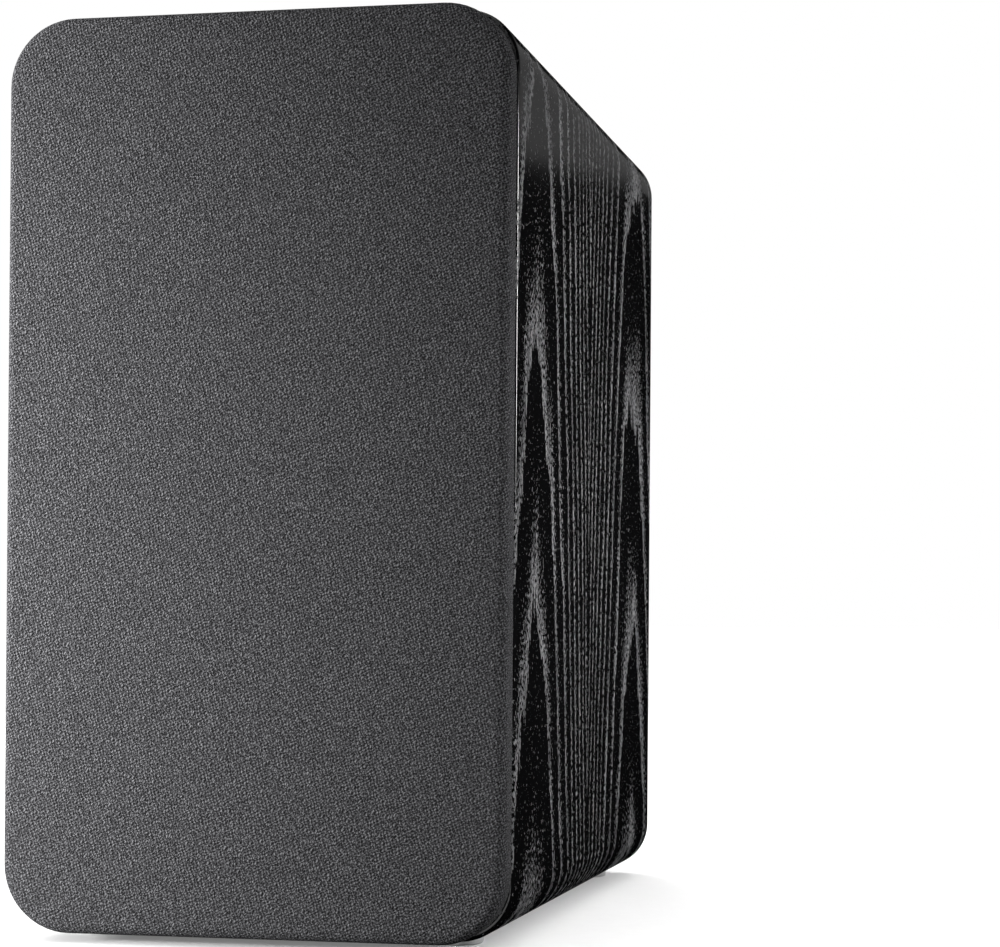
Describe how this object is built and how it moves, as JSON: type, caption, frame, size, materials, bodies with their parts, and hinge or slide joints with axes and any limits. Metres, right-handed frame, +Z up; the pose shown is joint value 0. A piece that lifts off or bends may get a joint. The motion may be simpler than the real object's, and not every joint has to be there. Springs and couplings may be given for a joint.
{
  "type": "bookshelf speaker",
  "caption": "Passive two-way bookshelf speaker: black ash cabinet with rounded edges, pull-off charcoal cloth grille, rear port and screw terminals.",
  "frame": {"origin": "on the ground under the middle of the object", "axes": "+X to the right seen from the front, front face towards -Y, +Z up"},
  "size_m": [0.152, 0.215, 0.2705],
  "materials": {
    "black_ash_board": "fibreboard wrapped in embossed black ash vinyl, satin with glossy grain",
    "painted_board": "fibreboard under matt black paint or foil",
    "damping_foam": "open-cell foam, dull",
    "foot_rubber": "soft light grey rubber, matt",
    "grille_plastic": "moulded, fine texture",
    "grille_cloth": "charcoal knitted speaker cloth, stretched",
    "black_rubber": "smooth, satin",
    "basket_steel": "pressed steel, black powder coat",
    "cone_paper": "black pulp, lightly coated",
    "spider_cloth": "resin-dipped woven cloth",
    "coil_copper": "enamelled copper wire",
    "plated_steel": "zinc plated",
    "ferrite": "sintered ferrite, matt",
    "terminal_brass": "gold-coloured plating",
    "screw_steel": "black oxide",
    "moulded_plastic": "fine moulded texture",
    "dome_silk": "coated woven silk, slight sheen",
    "red_plastic": "moulded, glossy",
    "black_plastic": "moulded, glossy",
    "board_laminate": "green solder mask",
    "capacitor_sleeve": "shrink sleeve",
    "resistor_ceramic": "cement filled",
    "lead_sleeve": "soft vinyl sleeve"
  },
  "bodies": {
    "cabinet": {"cabinet_shell": "black_ash_board", "front_baffle": "painted_board", "rear_panel": "painted_board", "foam_lining": "damping_foam", "foot_1": "foot_rubber", "foot_2": "foot_rubber", "foot_3": "foot_rubber", "foot_4": "foot_rubber", "grille_socket_1": "black_rubber", "grille_socket_2": "black_rubber", "grille_socket_3": "black_rubber", "grille_socket_4": "black_rubber", "woofer_basket": "basket_steel", "woofer_gasket": "black_rubber", "woofer_surround": "black_rubber", "woofer_spider": "spider_cloth", "woofer_top_plate": "plated_steel", "woofer_magnet": "ferrite", "woofer_yoke": "plated_steel", "woofer_terminal_strip": "terminal_brass", "tinsel_lead_1": "coil_copper", "tinsel_lead_2": "coil_copper", "woofer_screw_1": "screw_steel", "woofer_screw_2": "screw_steel", "woofer_screw_3": "screw_steel", "woofer_screw_4": "screw_steel", "tweeter_faceplate": "moulded_plastic", "tweeter_top_plate": "plated_steel", "tweeter_magnet": "ferrite", "tweeter_yoke": "plated_steel", "tweeter_screw_1": "screw_steel", "tweeter_screw_2": "screw_steel", "tweeter_screw_3": "screw_steel", "port_tube": "moulded_plastic", "terminal_cup": "moulded_plastic", "red_post": "terminal_brass", "black_post": "terminal_brass", "red_nut": "terminal_brass", "black_nut": "terminal_brass", "terminal_screw_1": "screw_steel", "terminal_screw_2": "screw_steel", "terminal_screw_3": "screw_steel", "terminal_screw_4": "screw_steel", "crossover_board": "board_laminate", "inductor": "coil_copper", "capacitor": "capacitor_sleeve", "resistor": "resistor_ceramic", "woofer_lead": "lead_sleeve", "tweeter_lead": "lead_sleeve"},
    "grille": {"grille_frame": "grille_plastic", "grille_cloth": "grille_cloth"},
    "woofer_moving_parts": {"woofer_cone": "cone_paper", "woofer_dust_cap": "cone_paper", "woofer_voice_coil": "coil_copper"},
    "tweeter_moving_parts": {"tweeter_diaphragm": "dome_silk", "tweeter_voice_coil": "coil_copper"},
    "red_clamp": {"red_washer": "terminal_brass"},
    "red_screw_knob": {"red_knob": "red_plastic"},
    "black_clamp": {"black_washer": "terminal_brass"},
    "black_screw_knob": {"black_knob": "black_plastic"}
  },
  "joints": [
    {"name": "grille_pull", "type": "slide", "parent": "cabinet", "child": "grille", "axis": [0, -1, 0], "range_m": [0, 0.12]},
    {"name": "woofer_stroke", "type": "slide", "parent": "cabinet", "child": "woofer_moving_parts", "axis": [0, -1, 0], "range_m": [-0.0035, 0.0035], "stiffness_N_per_m": 900, "deforming": ["woofer_surround", "woofer_spider", "tinsel_lead_1", "tinsel_lead_2"]},
    {"name": "tweeter_stroke", "type": "slide", "parent": "cabinet", "child": "tweeter_moving_parts", "axis": [0, -1, 0], "range_m": [-0.00025, 0.00025], "stiffness_N_per_m": 2000},
    {"name": "red_clamp_travel", "type": "slide", "parent": "cabinet", "child": "red_clamp", "axis": [0, 1, 0], "range_m": [0, 0.0035]},
    {"name": "red_knob_turn", "type": "hinge", "parent": "red_clamp", "child": "red_screw_knob", "pos_m": [0.0095, 0.0831, 0.0805], "axis": [0, 1, 0], "range_deg": [0, 1801]},
    {"name": "black_clamp_travel", "type": "slide", "parent": "cabinet", "child": "black_clamp", "axis": [0, 1, 0], "range_m": [0, 0.0035]},
    {"name": "black_knob_turn", "type": "hinge", "parent": "black_clamp", "child": "black_screw_knob", "pos_m": [-0.0095, 0.0831, 0.0805], "axis": [0, 1, 0], "range_deg": [0, 1801]}
  ],
  "couplings": [
    {"joint": "red_knob_turn", "follows": "red_clamp_travel", "rad_per_m": 8976},
    {"joint": "black_knob_turn", "follows": "black_clamp_travel", "rad_per_m": 8976}
  ]
}
